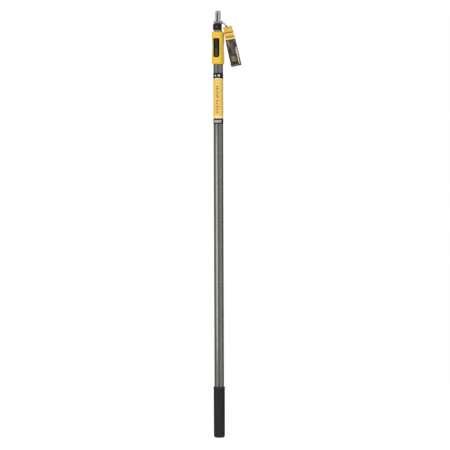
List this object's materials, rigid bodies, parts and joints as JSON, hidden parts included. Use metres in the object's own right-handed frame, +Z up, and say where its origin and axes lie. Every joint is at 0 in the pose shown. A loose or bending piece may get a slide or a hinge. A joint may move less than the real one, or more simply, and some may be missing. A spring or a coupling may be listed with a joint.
{
  "type": "telescopic extension pole",
  "caption": "Two-part telescopic tool pole with a rubber hand grip, a yellow trigger lock housing, a threaded quick-release tip and a hang tag on a cord loop.",
  "frame": {"origin": "centre of the flat butt end of the hand grip", "axes": "+Z up along the pole from the butt end to the threaded tip, with the trigger, the release button and the thread's keyway facing -Y"},
  "size_m": [0.0871, 0.0396, 1.2804],
  "materials": {
    "grey_tube": "satin grey coated aluminium tube",
    "bare_metal": "satin anodised",
    "cast_metal": "tumbled die casting",
    "steel": "plated",
    "dark_steel": "blackened",
    "grip_rubber": "fine matte grain",
    "black_plastic": "moulded",
    "dark_plastic": "moulded, fine texture",
    "nylon": "natural nylon",
    "yellow_plastic": "semi-gloss moulded",
    "label_film": "printed gloss film",
    "tag_card": "coated printed card",
    "cord": "twisted"
  },
  "bodies": {
    "outer_pole": {"outer_tube": "grey_tube", "tube_end_plug": "black_plastic", "hand_grip": "grip_rubber", "label_sleeve": "label_film", "lock_housing": "yellow_plastic", "housing_rivet_1": "steel", "housing_rivet_2": "steel", "sleeve_screw": "steel", "guide_sleeve": "nylon", "trigger_bezel": "black_plastic", "trigger_pin": "steel", "trigger_spring": "steel"},
    "trigger": {"trigger_lever": "dark_plastic"},
    "lock_pin": {"lock_pin": "steel"},
    "inner_pole": {"inner_tube": "bare_metal", "inner_end_glide": "black_plastic", "threaded_tip": "cast_metal", "tip_rivet_1": "steel", "tip_rivet_2": "steel", "tip_collar": "black_plastic", "collar_retaining_ring": "steel", "button_spring": "steel", "tag_cord": "cord", "cord_knot": "cord"},
    "release_button": {"release_button": "dark_plastic", "latch_blade": "dark_steel"},
    "hang_tag": {"hang_tag": "tag_card"}
  },
  "joints": [
    {"name": "inner_pole_slide", "type": "slide", "parent": "outer_pole", "child": "inner_pole", "axis": [0, 0, 1], "range_m": [0, 1.0668]},
    {"name": "trigger_rock", "type": "hinge", "parent": "outer_pole", "child": "trigger", "pos_m": [0, -0.017, 1.1658], "axis": [1, 0, 0], "range_deg": [0, 7], "stiffness_Nm_per_rad": 1, "springref_deg": -8.59, "deforming": ["trigger_spring"]},
    {"name": "lock_pin_draw", "type": "slide", "parent": "outer_pole", "child": "lock_pin", "axis": [0, -1, 0], "range_m": [0, 0.0024]},
    {"name": "button_press", "type": "slide", "parent": "inner_pole", "child": "release_button", "axis": [0, 1, 0], "range_m": [0, 0.002], "stiffness_N_per_m": 1500, "springref_m": -0.001, "deforming": ["button_spring"]},
    {"name": "tag_swing", "type": "hinge", "parent": "inner_pole", "child": "hang_tag", "pos_m": [0.0292, -0.00334, 1.22835], "axis": [0.284, -0.9588, 0], "range_deg": [0, 70]}
  ],
  "couplings": [
    {"joint": "lock_pin_draw", "follows": "trigger_rock", "m_per_rad": 0.019}
  ]
}
